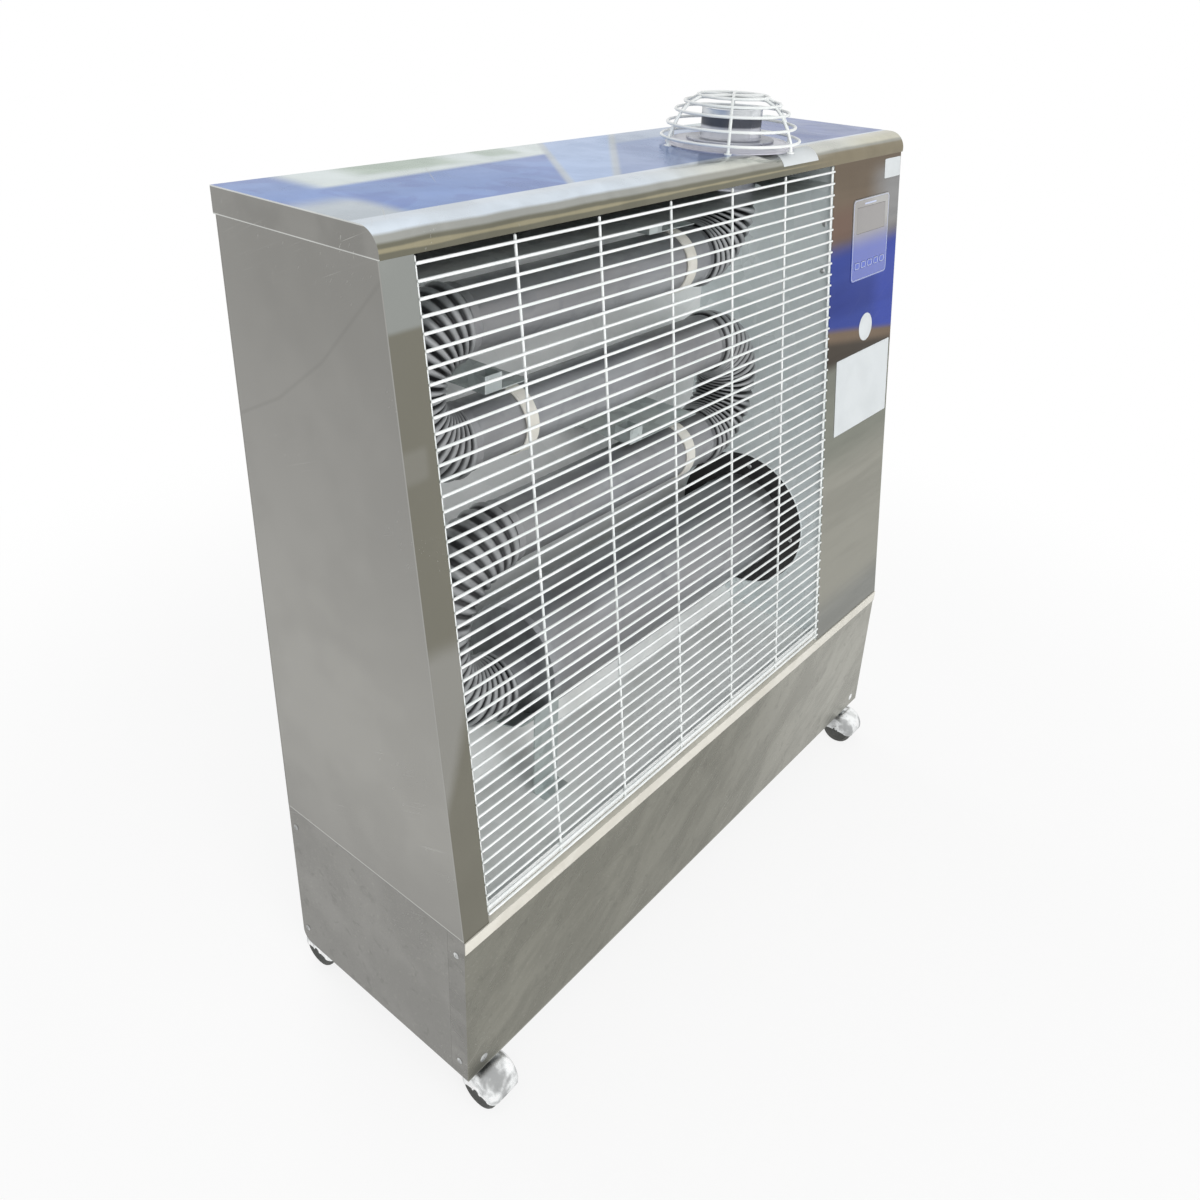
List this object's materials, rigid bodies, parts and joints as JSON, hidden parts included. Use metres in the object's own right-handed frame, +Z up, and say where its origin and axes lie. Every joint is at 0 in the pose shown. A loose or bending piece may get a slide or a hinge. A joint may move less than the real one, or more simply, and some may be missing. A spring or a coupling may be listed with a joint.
{
  "type": "infrared diesel heater",
  "caption": "Free-standing infrared diesel heater: stainless cabinet with leaning wire grille, ribbed radiant tubes, caged top flue, side control panel and swivel casters.",
  "frame": {"origin": "centre of the footprint, on the floor", "axes": "+Z up, -Y the front with the grille, +X to the right seen from the front"},
  "size_m": [0.923, 0.3442, 1.044],
  "materials": {
    "cabinet_stainless": "bright rolled stainless sheet",
    "galvanised": "galvanised sheet",
    "reflector_bright": "bright reflector sheet",
    "tube_steel": "heat-resistant steel",
    "dark_steel": "black heat-resistant coating",
    "wire_white": "light coated wire",
    "strip_beige": "pale painted strip",
    "strap_cream": "pale strap",
    "plated": "bright plating",
    "tread": "dark tread",
    "display_black": "gloss black bezel",
    "key_grey": "grey key caps",
    "lens": "smoked window",
    "black_plastic": "black moulding",
    "board": "circuit board",
    "tank_steel": "dark painted tank",
    "seal_rubber": "oil-proof seal",
    "motor_paint": "dark motor paint",
    "aluminium_cast": "die-cast aluminium",
    "brass": "brass pipe"
  },
  "bodies": {
    "heater": {"base_pan": "cabinet_stainless", "base_front_cover": "cabinet_stainless", "trim_strip": "strip_beige", "left_side_panel": "cabinet_stainless", "right_side_panel": "cabinet_stainless", "top_lid": "cabinet_stainless", "rear_panel": "cabinet_stainless", "control_fascia": "cabinet_stainless", "display_panel": "display_black", "display_lens": "lens", "heat_reflector": "reflector_bright", "top_heat_shield": "galvanised", "burner_partition": "galvanised", "left_inner_wall": "galvanised", "upper_emitter_tube": "tube_steel", "middle_emitter_tube": "tube_steel", "lower_emitter_tube": "tube_steel", "left_upper_bend": "tube_steel", "right_bend": "tube_steel", "left_lower_bend": "tube_steel", "flue_elbow": "tube_steel", "combustion_drum": "tube_steel", "drum_mounting_flange": "dark_steel", "tube_hangers": "galvanised", "tube_straps": "strap_cream", "drum_stand": "galvanised", "flue_spigot": "plated", "flue_collar": "galvanised", "flue_guard": "wire_white", "front_grille": "wire_white", "grille_screws": "plated", "cabinet_screws": "plated", "base_front_screws": "plated", "power_inlet": "black_plastic", "burner_head": "aluminium_cast", "blower_housing": "aluminium_cast", "blower_motor": "motor_paint", "ignition_transformer": "black_plastic", "control_board": "board", "fuel_tank": "tank_steel", "fuel_pump": "motor_paint", "fuel_pipe": "brass", "caster_plates": "plated"},
    "blower_rotor": {"motor_shaft": "plated", "blower_wheel": "galvanised"},
    "cap_seal": {"fuel_cap_seal": "seal_rubber"},
    "filler_cap": {"fuel_cap": "black_plastic"},
    "key_1": {"touch_key_1": "key_grey"},
    "key_2": {"touch_key_2": "key_grey"},
    "key_3": {"touch_key_3": "key_grey"},
    "key_4": {"touch_key_4": "key_grey"},
    "key_5": {"touch_key_5": "key_grey"},
    "caster_1": {"caster_1_hood": "plated"},
    "wheel_pair_1": {"caster_1_wheels": "tread"},
    "caster_2": {"caster_2_hood": "plated"},
    "wheel_pair_2": {"caster_2_wheels": "tread"},
    "caster_3": {"caster_3_hood": "plated"},
    "wheel_pair_3": {"caster_3_wheels": "tread"},
    "caster_4": {"caster_4_hood": "plated"},
    "wheel_pair_4": {"caster_4_wheels": "tread"}
  },
  "joints": [
    {"name": "blower_spin", "type": "hinge", "parent": "heater", "child": "blower_rotor", "pos_m": [0.36, 0.008, 0.43], "axis": [1, 0, 0], "continuous": true},
    {"name": "cap_pull", "type": "slide", "parent": "heater", "child": "cap_seal", "axis": [0, 1, 0], "range_m": [0, 0.06]},
    {"name": "cap_turn", "type": "hinge", "parent": "cap_seal", "child": "filler_cap", "pos_m": [0.318, 0.16, 0.236], "axis": [0, 1, 0], "range_deg": [0, 90]},
    {"name": "key_1_press", "type": "slide", "parent": "heater", "child": "key_1", "axis": [0, 0.9942, -0.1076], "range_m": [0, 0.0006], "stiffness_N_per_m": 500},
    {"name": "key_2_press", "type": "slide", "parent": "heater", "child": "key_2", "axis": [0, 0.9942, -0.1076], "range_m": [0, 0.0006], "stiffness_N_per_m": 500},
    {"name": "key_3_press", "type": "slide", "parent": "heater", "child": "key_3", "axis": [0, 0.9942, -0.1076], "range_m": [0, 0.0006], "stiffness_N_per_m": 500},
    {"name": "key_4_press", "type": "slide", "parent": "heater", "child": "key_4", "axis": [0, 0.9942, -0.1076], "range_m": [0, 0.0006], "stiffness_N_per_m": 500},
    {"name": "key_5_press", "type": "slide", "parent": "heater", "child": "key_5", "axis": [0, 0.9942, -0.1076], "range_m": [0, 0.0006], "stiffness_N_per_m": 500},
    {"name": "caster_1_swivel", "type": "hinge", "parent": "heater", "child": "caster_1", "pos_m": [-0.424, -0.127, 0.055], "axis": [0, 0, 1], "continuous": true},
    {"name": "caster_1_roll", "type": "hinge", "parent": "caster_1", "child": "wheel_pair_1", "pos_m": [-0.424, -0.145, 0.025], "axis": [1, 0, 0], "continuous": true},
    {"name": "caster_2_swivel", "type": "hinge", "parent": "heater", "child": "caster_2", "pos_m": [0.424, -0.127, 0.055], "axis": [0, 0, 1], "continuous": true},
    {"name": "caster_2_roll", "type": "hinge", "parent": "caster_2", "child": "wheel_pair_2", "pos_m": [0.424, -0.145, 0.025], "axis": [1, 0, 0], "continuous": true},
    {"name": "caster_3_swivel", "type": "hinge", "parent": "heater", "child": "caster_3", "pos_m": [-0.424, 0.127, 0.055], "axis": [0, 0, 1], "continuous": true},
    {"name": "caster_3_roll", "type": "hinge", "parent": "caster_3", "child": "wheel_pair_3", "pos_m": [-0.424, 0.145, 0.025], "axis": [1, 0, 0], "continuous": true},
    {"name": "caster_4_swivel", "type": "hinge", "parent": "heater", "child": "caster_4", "pos_m": [0.424, 0.127, 0.055], "axis": [0, 0, 1], "continuous": true},
    {"name": "caster_4_roll", "type": "hinge", "parent": "caster_4", "child": "wheel_pair_4", "pos_m": [0.424, 0.145, 0.025], "axis": [1, 0, 0], "continuous": true}
  ]
}
